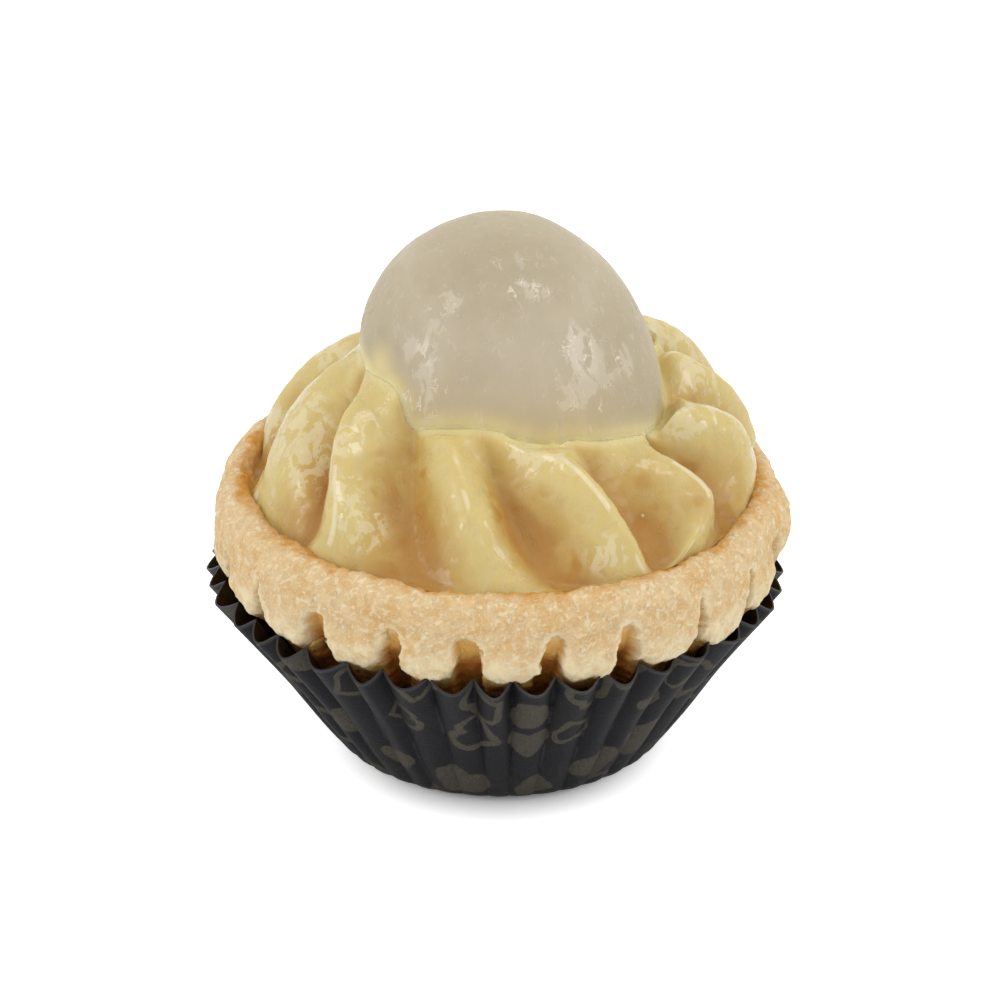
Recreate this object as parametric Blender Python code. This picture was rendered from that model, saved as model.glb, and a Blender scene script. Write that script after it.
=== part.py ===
"""A fruit tart: a peeled lychee on a piped custard rosette, in a pastry case in a pleated paper cup.

Metres, +Z up. The origin is the middle of the paper cup's flat base. Angles are in degrees round +Z, from the
front (-Y) towards +X. Every piece is a skin turned round the axis, from a pole under it to a pole on top.
"""

import math
import random

import bpy
import numpy as np
from mathutils import Matrix

MM = 0.001
GAP = 0.35 * MM  # between pieces that touch

# Paper cup: a flat disc whose side is pressed into pleats and flares
CUP_PLEATS = 40
CUP_WALL = 0.35 * MM
CUP_BASE_RADIUS = 15.6 * MM
CUP_CORNER = (16.8 * MM, 0.7 * MM)  # radius and height of the inner folds, from the base up to the rim
CUP_HEEL = (18.3 * MM, 2.7 * MM)
CUP_RIM = (28.6 * MM, 19.7 * MM)
CUP_SHIFT = -0.5 * MM  # the rim sits a little to the left of the base
CUP_TILT = (0.0, -0.02)  # its height against x and y: it is higher at the front
PLEAT_DEPTHS = (0.3 * MM, 0.5 * MM, 1.6 * MM)  # at the corner, the heel and the rim
RIM_DIP = 1.1 * MM  # how much lower the rim is on the outer folds
PLEAT_FORM = 0.85  # under 1 makes the inner folds sharp and the outer ones round

# Pastry case: thin below, with a thick rim whose lower edge hangs in lobes with notches between them
LOBES = 22
FIRST_NOTCH = 10.0
CASE_BASE = (13.2 * MM, 0.7 * MM)
CASE_HEEL = (16.2 * MM, 2.6 * MM)
CASE_WALL_TOP = (26.9 * MM, 19.9 * MM)
CASE_FLUTES = (0.3 * MM, 1.7 * MM)  # how deep the notches run down the wall, at the heel and at the top
FLUTE_SPREAD = 0.07  # how unevenly the lobes are spaced, as a share of the pitch
NOTCH_DEPTH = 2.0 * MM
NOTCH_SHARES = (0.08, 0.13, 0.19)  # its floor, side and edge from its middle, as shares of the pitch
LOBE_FLAT = 0.35  # share of the pitch from a notch to where the lobe's foot runs level
CORNER_LIFT = 0.9 * MM  # how much a lobe's lower corners round off
LOBE_HANG = (-0.1 * MM, 0.8 * MM)  # each lobe's foot is this much higher, at random
LOBE_SWELL = (-0.3 * MM, 0.4 * MM)  # and the lobe this much wider
LOBE_FOOT = (28.4 * MM, 21.3 * MM)
RIM_LOW = (29.3 * MM, 22.4 * MM)
RIM_UNDER = (29.6 * MM, 23.9 * MM)
RIM_WAIST = (29.6 * MM, 25.2 * MM)
RIM_SHOULDER = (29.3 * MM, 27.4 * MM)
RIM_BROW = (28.5 * MM, 28.7 * MM)
RIM_CREST = (27.3 * MM, 29.3 * MM)
RIM_LIP = (25.9 * MM, 29.0 * MM)
CASE_MOUTH = (25.4 * MM, 27.2 * MM)
CASE_FLOOR = (12.5 * MM, 5.6 * MM)
RIM_UNEVEN = 0.3 * MM
RIM_TILT = (-0.014, 0.022)  # height against x and y: the rim is higher at the back, on the left
LONE_LOBE = (92, 0.9 * MM)  # one lobe sticks out: its angle and by how much

# Custard: it fills the case, and star-nozzle ridges climb from the rim to the middle
FOOT = (24.6 * MM, 27.5 * MM)
VALLEY_DIP = 0.4 * MM  # how much lower a valley starts
VALLEY_DEPTH = 1.3 * MM  # how far a valley ends below its ridges
MIDDLE = (0.8, 2.4 * MM)  # inside its top a ridge ends at this share of that radius, and this much lower
MIDDLE_HEIGHT = 38.2 * MM  # the top of the middle, under the lychee
LIP_CLEARANCE = 0.8 * MM
LEAN_OUT = 1.6  # how fast a foot may widen with height once it is over the lip
TWIST_EASE = 1.4  # over 1 keeps the turn near the top
CURL_HEIGHT = 0.3  # share of the climb over which a foot curls
# Each ridge: angle at its foot and at its top, reach at the foot, height and radius of its top, how squarely
# it climbs, curl of its foot, where the valley before it lies at the foot and at the top, as a share of the
# way from the ridge before, and how quickly its left and its right side fall away
RIDGES = (
    (-180, -200, 26.4 * MM, 43.6 * MM, 11.0 * MM, 1.0, 0, 0.5, 0.5, 1.2, 1.2),
    (-147, -170, 26.2 * MM, 42.8 * MM, 11.0 * MM, 1.0, 0, 0.5, 0.5, 1.2, 1.2),
    (-109, -132, 26.6 * MM, 42.4 * MM, 11.0 * MM, 1.0, 2, 0.5, 0.5, 1.1, 2.2),
    (-75, -99, 25.3 * MM, 43.5 * MM, 10.6 * MM, 1.13, 5, 0.55, 0.6, 1.6, 0.9),
    (-38, -66, 25.5 * MM, 42.5 * MM, 13.0 * MM, 0.9, 8, 0.7, 0.72, 1.3, 1.9),
    (-1, -22, 25.4 * MM, 40.7 * MM, 14.0 * MM, 1.0, -6, 0.5, 0.64, 2.1, 1.8),
    (31, 16, 25.8 * MM, 39.8 * MM, 16.4 * MM, 0.76, -3.5, 0.4, 0.38, 1.9, 1.4),
    (59, 53, 25.9 * MM, 38.1 * MM, 13.0 * MM, 0.58, 16, 0.26, 0.3, 2.2, 1.4),
    (89, 76, 26.6 * MM, 39.2 * MM, 19.4 * MM, 0.8, 0, 0.3, 0.3, 2.0, 1.2),
    (104, 97, 27.8 * MM, 43.3 * MM, 11.0 * MM, 1.0, 0, 0.3, 0.35, 1.3, 1.0),
    (121, 121, 28.2 * MM, 44.7 * MM, 11.0 * MM, 1.07, 0, 0.4, 0.4, 1.0, 1.2),
    (149, 142, 26.8 * MM, 44.4 * MM, 11.0 * MM, 1.0, 0, 0.5, 0.5, 1.2, 1.2),
)

# Lychee: a dome, widest just above its cut end, which is tilted and pressed into the top of the rosette
LYCHEE_RADIUS = 15.6 * MM
LYCHEE_UNEVEN = 0.012
LYCHEE_RISE = 17.8 * MM  # widest level to top
LYCHEE_DROP = 2.6 * MM  # widest level to the flat cut end
LYCHEE_PLACE = (1.3 * MM, 0.0, 39.7 * MM)
LYCHEE_TILT = -0.18  # height of the cut end against x
LYCHEE_LEAN = -0.07  # x against height


def on_circle(angle, radius, height):
    """The point at an angle in degrees, as an array that takes arrays."""
    turn = np.radians(angle)
    return np.stack(np.broadcast_arrays(radius * np.sin(turn), -radius * np.cos(turn), height), axis=-1)


def blend(first, second, share):
    return first + (second - first) * share


def smooth_step(low, high, value):
    share = np.clip((value - low) / (high - low), 0, 1)
    return share * share * (3 - 2 * share)


def wobble(angles, seed, waves=(2, 3, 5, 8, 13)):
    """Slow unevenness from -1 to 1 round the axis."""
    draw = random.Random(seed)
    total = sum(draw.uniform(0.5, 1) * np.sin(np.radians(angles * n + draw.uniform(0, 360))) for n in waves)
    return total / len(waves)


def uneven_marks(count, first, spread, seed):
    """Angles of folds or notches, a little unevenly spaced, with the first one repeated a turn later."""
    draw = random.Random(seed)
    pitch = 360 / count
    marks = [first + pitch * (n + draw.uniform(-spread, spread)) for n in range(count)]
    return np.array(marks + [marks[0] + 360])


def columns_between(marks, shares):
    """Angles at the same shares of the way from mark to mark, with each one's mark number and share."""
    number = np.repeat(np.arange(len(marks) - 1), len(shares))
    share = np.tile(shares, len(marks) - 1)
    return blend(marks[number], marks[number + 1], share), number, share


def turned_skin(name, underside, rings, topside):
    """One closed mesh: rings of equally many points, from under the piece outwards, up and in to the top."""
    count = len(rings[0])
    points = [underside, *np.concatenate(rings), topside]
    last = len(points) - 1
    faces = []
    for n in range(count):
        after = (n + 1) % count
        faces.append((0, 1 + after, 1 + n))
        for ring in range(len(rings) - 1):
            low, high = 1 + ring * count, 1 + (ring + 1) * count
            faces.append((low + n, low + after, high + after, high + n))
        top = 1 + (len(rings) - 1) * count
        faces.append((top + n, top + after, last))
    mesh = bpy.data.meshes.new(name)
    mesh.from_pydata([tuple(map(float, p)) for p in points], [], faces)
    obj = bpy.data.objects.new(name, mesh)
    bpy.context.scene.collection.objects.link(obj)
    return obj


def finish(obj, colour, roughness, sharp_angle, metallic=0.0):
    """Smooth shading up to an angle, and the piece's own material."""
    obj.data.shade_smooth()
    obj.data.set_sharp_from_angle(angle=math.radians(sharp_angle))
    material = bpy.data.materials.new(obj.name)
    material.use_nodes = True
    shader = material.node_tree.nodes["Principled BSDF"]
    shader.inputs["Base Color"].default_value = (*colour, 1)
    shader.inputs["Roughness"].default_value = roughness
    shader.inputs["Metallic"].default_value = metallic
    obj.data.materials.append(material)
    return obj


def paper_cup():
    folds = uneven_marks(CUP_PLEATS, 4.0, 0.12, seed=4)
    angles, _, share = columns_between(folds, (0, 0.25, 0.5, 0.75))
    pleat = np.sin(np.pi * share) ** PLEAT_FORM  # 0 on an inner fold, 1 on an outer one

    def fold_ring(level, depth, dip, inset=0.0, lift=0.0):
        radius, height = level
        ring = on_circle(angles, radius + depth * pleat - inset, height - dip * pleat + lift)
        ring[:, 0] += CUP_SHIFT * height / CUP_RIM[1]
        ring[:, 2] += ring[:, :2] @ CUP_TILT * height / CUP_RIM[1]
        return ring

    levels = (CUP_CORNER, CUP_HEEL, CUP_RIM)
    dips = (0.0, 0.0, RIM_DIP)
    outside = [fold_ring(*row) for row in zip(levels, PLEAT_DEPTHS, dips)]
    insets = (0.6 * CUP_WALL, CUP_WALL, CUP_WALL)
    lifts = (0.6 * CUP_WALL, 0.3 * CUP_WALL, 0.0)
    inside = [fold_ring(*row) for row in zip(levels, PLEAT_DEPTHS, dips, insets, lifts)]
    rings = [
        on_circle(angles, CUP_BASE_RADIUS, 0.0),
        *outside,
        *reversed(inside),
        on_circle(angles, CUP_BASE_RADIUS - CUP_WALL, CUP_WALL),
    ]
    cup = turned_skin("paper_cup", (0, 0, 0), rings, (0, 0, CUP_WALL))
    return finish(cup, (0.030, 0.030, 0.033), 0.5, 35)


def pastry_case():
    notches = uneven_marks(LOBES, FIRST_NOTCH, FLUTE_SPREAD, seed=11)
    floor, side, edge = NOTCH_SHARES
    shares = (0, floor, side, edge, LOBE_FLAT, 1 - LOBE_FLAT, 1 - edge, 1 - side, 1 - floor)
    angles, lobe, share = columns_between(notches, shares)
    draw = random.Random(5)
    hang = np.array([draw.uniform(*LOBE_HANG) for _ in range(LOBES)])
    swell = np.array([draw.uniform(*LOBE_SWELL) for _ in range(LOBES)])
    middles = (notches[:-1] + notches[1:]) / 2
    away = np.abs((middles - LONE_LOBE[0] + 180) % 360 - 180)
    swell[away.argmin()] = LONE_LOBE[1]
    from_notch = np.minimum(share, 1 - share)
    wide_notch = 1 - smooth_step(floor, edge, from_notch)
    narrow_notch = 1 - smooth_step(0.4 * floor, side, from_notch)
    corner = 1 - smooth_step(side, LOBE_FLAT, from_notch)
    bulge = np.sin(np.pi * share) ** 0.6
    wave = wobble(angles, seed=3)

    def rim_ring(level, notch, depth, swelling=1.0, unevenness=1.0):
        radius = level[0] - notch * depth + swell[lobe] * bulge * swelling + unevenness * RIM_UNEVEN * wave
        return on_circle(angles, radius, level[1])

    def lobe_ring(level, depth, hanging, lift):
        ring = rim_ring(level, wide_notch, depth, 0.7, 0.3)
        ring[:, 2] += (hang[lobe] * hanging + corner * lift) * (1 - wide_notch)
        return ring

    def wall_ring(level, depth):
        return on_circle(angles, level[0] - depth * wide_notch, level[1])

    rings = [
        on_circle(angles, *CASE_BASE),
        wall_ring(CASE_HEEL, CASE_FLUTES[0]),
        wall_ring(CASE_WALL_TOP, CASE_FLUTES[1]),
        lobe_ring(LOBE_FOOT, NOTCH_DEPTH, 1.0, CORNER_LIFT),
        lobe_ring(RIM_LOW, NOTCH_DEPTH + 0.5 * MM, 0.6, 0.3 * CORNER_LIFT),
        rim_ring(RIM_UNDER, narrow_notch, NOTCH_DEPTH + 0.2 * MM),
        rim_ring(RIM_WAIST, narrow_notch, 0.7 * MM),
        rim_ring(RIM_SHOULDER, narrow_notch, 0.3 * MM, 0.8),
        rim_ring(RIM_BROW, narrow_notch, 0.1 * MM, 0.5),
        rim_ring(RIM_CREST, narrow_notch, 0.0, 0.2),
        on_circle(angles, RIM_LIP[0] + RIM_UNEVEN * wobble(angles, seed=8), RIM_LIP[1] + RIM_UNEVEN * wave),
        on_circle(angles, *CASE_MOUTH),
        on_circle(angles, *CASE_FLOOR),
    ]
    for ring in rings:
        ring[:, 2] += ring[:, :2] @ RIM_TILT * ring[:, 2] / RIM_CREST[1]
    case = turned_skin("pastry_case", (0, 0, CASE_BASE[1]), rings, (0, 0, CASE_FLOOR[1] - 0.5 * MM))
    return finish(case, (0.70, 0.53, 0.29), 0.75, 50)


def rosette_ring(climb, inward=0.0, columns_per_ridge=12):
    """One level of the rosette, climb 0 at the foot and 1 at the ridges' tops; inward 1 is its middle.

    Crests follow a quarter of an ellipse, and valleys a straighter line inside and under it.
    """
    ridges = np.array((*RIDGES, (RIDGES[0][0] + 360, RIDGES[0][1] + 360, *RIDGES[0][2:])), float)
    foot, top, *shape, curl, valley_foot, valley_top, left_fall, right_fall = ridges.T
    leaning = blend(foot, top, climb**TWIST_EASE) - curl * max(1 - climb / CURL_HEIGHT, 0) ** 2
    angles, number, share = columns_between(leaning, np.arange(columns_per_ridge) / columns_per_ridge)
    easing = smooth_step(0, 1, share)
    reach, crest, peak, squareness = (blend(row[number], row[number + 1], easing) for row in shape)
    valley = blend(valley_foot, valley_top, climb)[number + 1]
    away = np.where(share < valley, share / valley, (1 - share) / (1 - valley))
    fall = np.where(share < valley, right_fall[number], left_fall[number + 1])
    on_crest = np.maximum(np.cos(away * math.pi / 2), 0) ** fall
    turn = climb * math.pi / 2
    crest_radius = peak + (reach - peak) * math.cos(turn)
    crest_height = FOOT[1] + (crest - FOOT[1]) * math.sin(turn) ** squareness
    valley_radius = blend(FOOT[0], peak, climb)
    valley_height = blend(FOOT[1] - VALLEY_DIP, crest - VALLEY_DEPTH, climb**1.15)
    radius = blend(valley_radius, crest_radius, on_crest) * blend(1, MIDDLE[0], inward)
    height = blend(valley_height, crest_height, on_crest) - MIDDLE[1] * inward
    # Up to the pastry's lip the custard stays inside it
    over_lip = np.maximum(height - RIM_LIP[1] - LIP_CLEARANCE, 0)
    radius = np.minimum(radius, FOOT[0] + LEAN_OUT * over_lip)
    return on_circle(angles, radius, height)


def lychee_skin(name, grown=0.0):
    """The lychee, or the room that it needs when grown: a dome over a flat end with a rounded edge."""
    angles = np.arange(0, 360, 9.0)
    uneven = 1 + LYCHEE_UNEVEN * wobble(angles, seed=21, waves=(2, 3, 4))
    turns = np.radians((0, 13, 25, 36, 46, 56, 65, 73, 82))
    levels = [(0.82, -LYCHEE_DROP), (0.96, -0.6 * LYCHEE_DROP)]
    levels += [(math.cos(turn), LYCHEE_RISE * math.sin(turn)) for turn in turns]
    rings = []
    for share, height in levels:
        lift = grown * height / (LYCHEE_RISE if height > 0 else LYCHEE_DROP)
        rings.append(on_circle(angles, LYCHEE_RADIUS * share * uneven + grown, height + lift))
    skin = turned_skin(name, (0, 0, -LYCHEE_DROP - grown), rings, (0, 0, LYCHEE_RISE + grown))
    for vertex in skin.data.vertices:
        x, y, z = vertex.co
        settle = 1 - max(z, 0) / LYCHEE_RISE
        vertex.co = (x + LYCHEE_LEAN * z, y, z + LYCHEE_TILT * x * settle)
    skin.data.transform(Matrix.Translation(LYCHEE_PLACE))
    return skin


def custard():
    climbs = (0, 0.08, 0.18, 0.29, 0.42, 0.55, 0.69, 0.84, 1)  # closer at the foot, where the ridges bulge
    rosette = [rosette_ring(climb) for climb in climbs]
    around = np.degrees(np.arctan2(rosette[0][:, 0], -rosette[0][:, 1]))
    rings = [on_circle(around, CASE_FLOOR[0] - 2 * GAP, CASE_FLOOR[1] + GAP), *rosette, rosette_ring(1, 1)]
    swirl = turned_skin("custard", (0, 0, CASE_FLOOR[1] + GAP), rings, (0, 0, MIDDLE_HEIGHT))
    room = lychee_skin("lychee_room", grown=GAP)
    room.hide_render = True
    room.display_type = "WIRE"
    seat = swirl.modifiers.new("seat", "BOOLEAN")
    seat.operation = "DIFFERENCE"
    seat.object = room
    return finish(swirl, (0.66, 0.51, 0.22), 0.25, 60)


def lychee():
    return finish(lychee_skin("lychee"), (0.53, 0.46, 0.34), 0.2, 60)


def main():
    for obj in list(bpy.data.objects):
        bpy.data.objects.remove(obj)
    for make in (paper_cup, pastry_case, custard, lychee):
        make()


main()
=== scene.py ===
import math
import random

import bpy
import numpy as np
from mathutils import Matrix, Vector, noise
from mathutils.bvhtree import BVHTree


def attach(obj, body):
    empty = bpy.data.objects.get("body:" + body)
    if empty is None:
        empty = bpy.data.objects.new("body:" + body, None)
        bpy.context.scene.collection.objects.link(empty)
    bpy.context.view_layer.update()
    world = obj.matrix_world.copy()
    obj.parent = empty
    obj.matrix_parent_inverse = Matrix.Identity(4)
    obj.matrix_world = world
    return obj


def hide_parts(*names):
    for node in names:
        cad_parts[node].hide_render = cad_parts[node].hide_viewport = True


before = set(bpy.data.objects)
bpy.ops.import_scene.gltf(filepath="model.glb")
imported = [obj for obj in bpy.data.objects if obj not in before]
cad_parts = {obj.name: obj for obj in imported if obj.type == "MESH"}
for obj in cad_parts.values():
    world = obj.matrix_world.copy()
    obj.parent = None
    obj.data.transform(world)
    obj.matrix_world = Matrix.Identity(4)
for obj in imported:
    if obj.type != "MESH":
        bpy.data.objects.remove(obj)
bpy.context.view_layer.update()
mm = 0.001
print("frame loaded with", ", ".join(sorted(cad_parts)))


# each piece is a skin turned round the upright axis
def onCircle(angle, radius, height):
    turn = np.radians(angle)  # 0 is the front, 90 the right side
    return np.stack(np.broadcast_arrays(radius * np.sin(turn), -radius * np.cos(turn), height), axis=-1)


def between(first, second, share):
    return first + (second - first) * share


def easeStep(low, high, value):
    share = np.clip((value - low) / (high - low), 0, 1)
    return share * share * (3 - 2 * share)


def wobble(angles, seed, waves=(2, 3, 5, 8, 13)):
    draw = random.Random(seed)
    total = sum(draw.uniform(0.5, 1) * np.sin(np.radians(angles * n + draw.uniform(0, 360))) for n in waves)
    return total / len(waves)


def unevenMarks(count, first, spread, seed):
    draw = random.Random(seed)
    pitch = 360 / count
    marks = [first + pitch * (n + draw.uniform(-spread, spread)) for n in range(count)]
    return np.array(marks + [marks[0] + 360])


def columnsBetween(marks, shares):
    number = np.repeat(np.arange(len(marks) - 1), len(shares))
    share = np.tile(shares, len(marks) - 1)
    return between(marks[number], marks[number + 1], share), number, share


def lumps(points, size, seed, layers):
    # fractal noise, about -1 to 1, at real points in space
    spots = points.reshape(-1, 3) / size + np.array((seed * 7.3, seed * 3.1, seed * 5.7))
    values = [noise.fractal(spot, 1.0, 2.1, layers) for spot in map(Vector, spots)]
    return np.array(values).reshape(points.shape[:-1])


def relief(points, layers):
    # each layer of lumps: height and size in mm, seed, and how many finer layers it is made of
    return sum(height * lumps(points, size * mm, seed, finer) for height, size, seed, finer in layers)


def nearSpots(points, spots):
    # 1 at the listed spots and 0 away from them: angle, distance out, height and size, in degrees and mm
    share = np.zeros(points.shape[:-1])
    for angle, out, height, size in spots:
        away = points - onCircle(angle, out * mm, height * mm)
        share = np.maximum(share, np.exp(-(away**2).sum(axis=-1) / (size * mm) ** 2))
    return share


def outward(grid):
    around = np.roll(grid, -1, axis=1) - np.roll(grid, 1, axis=1)
    up = np.gradient(grid, axis=0)
    normal = np.cross(around, up)
    return normal / np.maximum(np.linalg.norm(normal, axis=2, keepdims=True), 1e-12)


def smoothRows(rings, rowsEach):
    # a smooth curve up through the rings, with rowsEach[n] rows from ring n to the next
    rings = np.array(rings)
    step = np.linalg.norm(np.diff(rings, axis=0), axis=2).mean(axis=1)
    along = np.concatenate([[0], np.cumsum(step)])
    slope = np.gradient(rings, along, axis=0)
    rows = []
    for n, count in enumerate(rowsEach):
        for share in np.arange(count) / count:
            s2, s3 = share**2, share**3
            rows.append(
                (2 * s3 - 3 * s2 + 1) * rings[n]
                + (s3 - 2 * s2 + share) * step[n] * slope[n]
                + (3 * s2 - 2 * s3) * rings[n + 1]
                + (s3 - s2) * step[n] * slope[n + 1]
            )
    return np.array(rows + [rings[-1]])


def gridPiece(name, grid, start, end, values, flat=None, sharpFrom=None):
    # one closed mesh from rows of points, with a pole at each end
    rows, columns = grid.shape[:2]
    points = np.concatenate([[start], grid.reshape(-1, 3), [end]])
    here = np.arange(columns)
    after = np.roll(here, -1)
    quads = []
    for row in range(rows - 1):
        low, high = 1 + row * columns, 1 + (row + 1) * columns
        quads.append(np.stack([low + here, low + after, high + after, high + here], axis=1))
    last = 1 + (rows - 1) * columns
    faces = [(0, 1 + int(b), 1 + int(a)) for a, b in zip(here, after)]
    faces += np.concatenate(quads).tolist()
    faces += [(last + int(a), last + int(b), len(points) - 1) for a, b in zip(here, after)]
    mesh = bpy.data.meshes.new(name)
    mesh.from_pydata(points.tolist(), [], faces)
    for label, numbers in values.items():
        padded = np.concatenate([[numbers[0].mean()], numbers.ravel(), [numbers[-1].mean()]])
        mesh.attributes.new(label, "FLOAT", "POINT").data.foreach_set("value", padded.astype(np.float32))
    if flat is not None:
        padded = np.concatenate([[flat[0].mean(axis=0)], flat.reshape(-1, 2), [flat[-1].mean(axis=0)]])
        corner = np.zeros(len(mesh.loops), np.int32)
        mesh.loops.foreach_get("vertex_index", corner)
        mesh.uv_layers.new(name="sheet").data.foreach_set("uv", padded[corner].ravel().astype(np.float32))
    mesh.shade_smooth()
    if sharpFrom:
        mesh.set_sharp_from_angle(angle=math.radians(sharpFrom))
    piece = bpy.data.objects.new(name, mesh)
    bpy.context.scene.collection.objects.link(piece)
    return piece


def place(piece, node):
    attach(piece, "root")
    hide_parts(node)


# short ways to build node trees
def fill(tree, node, inputs):
    for name, value in inputs.items():
        if isinstance(value, bpy.types.NodeSocket):
            tree.links.new(value, node.inputs[name])
        else:
            node.inputs[name].default_value = value


def add(tree, kind, inputs=None, **settings):
    made = tree.nodes.new("ShaderNode" + kind)
    for name, value in settings.items():
        setattr(made, name, value)
    fill(tree, made, inputs or {})
    return made


def maths(tree, operation, first, second=0.0, third=0.0):
    return add(tree, "Math", {0: first, 1: second, 2: third}, operation=operation).outputs[0]


def squares(tree, first, second):
    return maths(tree, "ADD", maths(tree, "POWER", first, 2.0), maths(tree, "POWER", second, 2.0))


def ramp(tree, value, low, high, outLow=0.0, outHigh=1.0):
    inputs = {"Value": value, "From Min": low, "From Max": high, "To Min": outLow, "To Max": outHigh}
    return add(tree, "MapRange", inputs, interpolation_type="SMOOTHSTEP").outputs[0]


def tint(tree, share, first, second):
    first, second = (c if isinstance(c, bpy.types.NodeSocket) else (*c, 1) for c in (first, second))
    return add(tree, "Mix", {0: share, 6: first, 7: second}, data_type="RGBA").outputs[2]


def cloudy(tree, where, scale, detail=2.0, roughness=0.5, distortion=0.0):
    inputs = {"Vector": where, "Scale": scale, "Detail": detail, "Roughness": roughness,
              "Distortion": distortion}
    return add(tree, "TexNoise", inputs).outputs["Fac"]


def stretched(tree, where, scale):
    return add(tree, "VectorMath", {0: where, 1: scale}, operation="MULTIPLY").outputs[0]


def bumped(tree, height, strength, distance):
    return add(tree, "Bump", {"Strength": strength, "Distance": distance, "Height": height}).outputs[0]


def painted(tree, label):
    return add(tree, "Attribute", attribute_name=label).outputs["Fac"]


def newGroup(name, takes, gives):
    group = bpy.data.node_groups.new(name, "ShaderNodeTree")
    for label, kind, value in takes:
        socket = group.interface.new_socket(label, in_out="INPUT", socket_type="NodeSocket" + kind)
        if value is not None:
            socket.default_value = value
    for label, kind in gives:
        group.interface.new_socket(label, in_out="OUTPUT", socket_type="NodeSocket" + kind)
    return group, group.nodes.new("NodeGroupInput").outputs, group.nodes.new("NodeGroupOutput")


def useGroup(tree, group, inputs):
    return add(tree, "Group", inputs, node_tree=group).outputs


def newMaterial(name):
    material = bpy.data.materials.new(name)
    material.use_nodes = True
    tree = material.node_tree
    return material, tree, tree.nodes["Principled BSDF"], add(tree, "TexCoord").outputs["Object"]


def makeMottleGroup():
    # soft patches and fine specks, for food that is never one even colour
    takes = [("Vector", "Vector", None), ("Patch Scale", "Float", 200.0), ("Speck Scale", "Float", 1500.0)]
    group, given, result = newGroup("mottle", takes, [("Patches", "Float"), ("Specks", "Float")])
    patches = cloudy(group, given["Vector"], given["Patch Scale"], 3.0, distortion=0.4)
    specks = cloudy(group, given["Vector"], given["Speck Scale"], 2.0, roughness=0.6)
    fill(group, result, {"Patches": ramp(group, patches, 0.35, 0.65),
                         "Specks": ramp(group, specks, 0.4, 0.62)})
    return group


def makeGlazeGroup():
    # a clear wet glaze: ripples, crisp-edged pools and squiggly wrinkles that shine, and a few bubbles
    takes = [("Vector", "Vector", None), ("Ripple Scale", "Float", 900.0), ("Pool Scale", "Float", 250.0),
             ("Pool Share", "Float", 0.5), ("Wrinkle Scale", "Float", 500.0)]
    gives = [("Height", "Float"), ("Wetness", "Float"), ("Wrinkles", "Float"), ("Bubbles", "Float")]
    group, given, result = newGroup("wetGlaze", takes, gives)
    place3d, wrinkleScale = given["Vector"], given["Wrinkle Scale"]
    pools = cloudy(group, place3d, given["Pool Scale"], 5.0, 0.62, 0.9)
    edge = maths(group, "SUBTRACT", 1.0, given["Pool Share"])
    pooled = ramp(group, maths(group, "SUBTRACT", ramp(group, pools, 0.3, 0.7), edge), -0.03, 0.05)
    squiggle = cloudy(group, place3d, wrinkleScale, 1.0, distortion=1.3)
    offLine = maths(group, "ABSOLUTE", maths(group, "SUBTRACT", squiggle, 0.5))
    broken = cloudy(group, place3d, maths(group, "MULTIPLY", 0.9, wrinkleScale))
    line = maths(group, "MULTIPLY", ramp(group, offLine, 0.012, 0.03, 1.0, 0.0),
                 ramp(group, broken, 0.5, 0.57))
    ripples = cloudy(group, place3d, given["Ripple Scale"], 2.0, 0.45, 0.8)
    cells = add(group, "TexVoronoi", {"Vector": place3d, "Scale": 420.0, "Randomness": 1.0}).outputs
    few = maths(group, "GREATER_THAN", add(group, "SeparateColor", {0: cells["Color"]}).outputs[0], 0.88)
    bubble = maths(group, "MULTIPLY", ramp(group, cells["Distance"], 0.04, 0.09, 1.0, 0.0), few)
    lines = maths(group, "MULTIPLY_ADD", line, 0.5, ripples)
    fill(group, result, {
        "Height": maths(group, "MULTIPLY_ADD", bubble, 0.7, lines), "Wrinkles": line, "Bubbles": bubble,
        "Wetness": maths(group, "MAXIMUM", pooled, line)})
    return group


mottleGroup = makeMottleGroup()
glazeGroup = makeGlazeGroup()
print("shared node groups made")


def mottled(tree, place3d, scales):
    patchScale, speckScale = scales
    return useGroup(tree, mottleGroup, {"Vector": place3d, "Patch Scale": patchScale,
                                        "Speck Scale": speckScale})


def glazed(tree, place3d, look):
    # the group's outputs, where the glaze lies thick, and how strongly a painted highlight makes its wet
    # places paler there
    wetAndHighlight = painted(tree, "wetAndHighlight")
    dryShare, wetShare = look["poolShares"]
    glaze = useGroup(tree, glazeGroup, {
        "Vector": stretched(tree, place3d, (1.0, 1.0, 0.6)), "Ripple Scale": look["rippleScale"],
        "Pool Scale": look["poolScale"], "Pool Share": ramp(tree, wetAndHighlight, 0.0, 0.9, dryShare, wetShare),
        "Wrinkle Scale": look["wrinkleScale"]})
    caught = maths(tree, "MULTIPLY", glaze["Wetness"], ramp(tree, wetAndHighlight, 0.05, 0.35, 0.0, look["caught"]))
    return glaze, wetAndHighlight, caught


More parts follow.
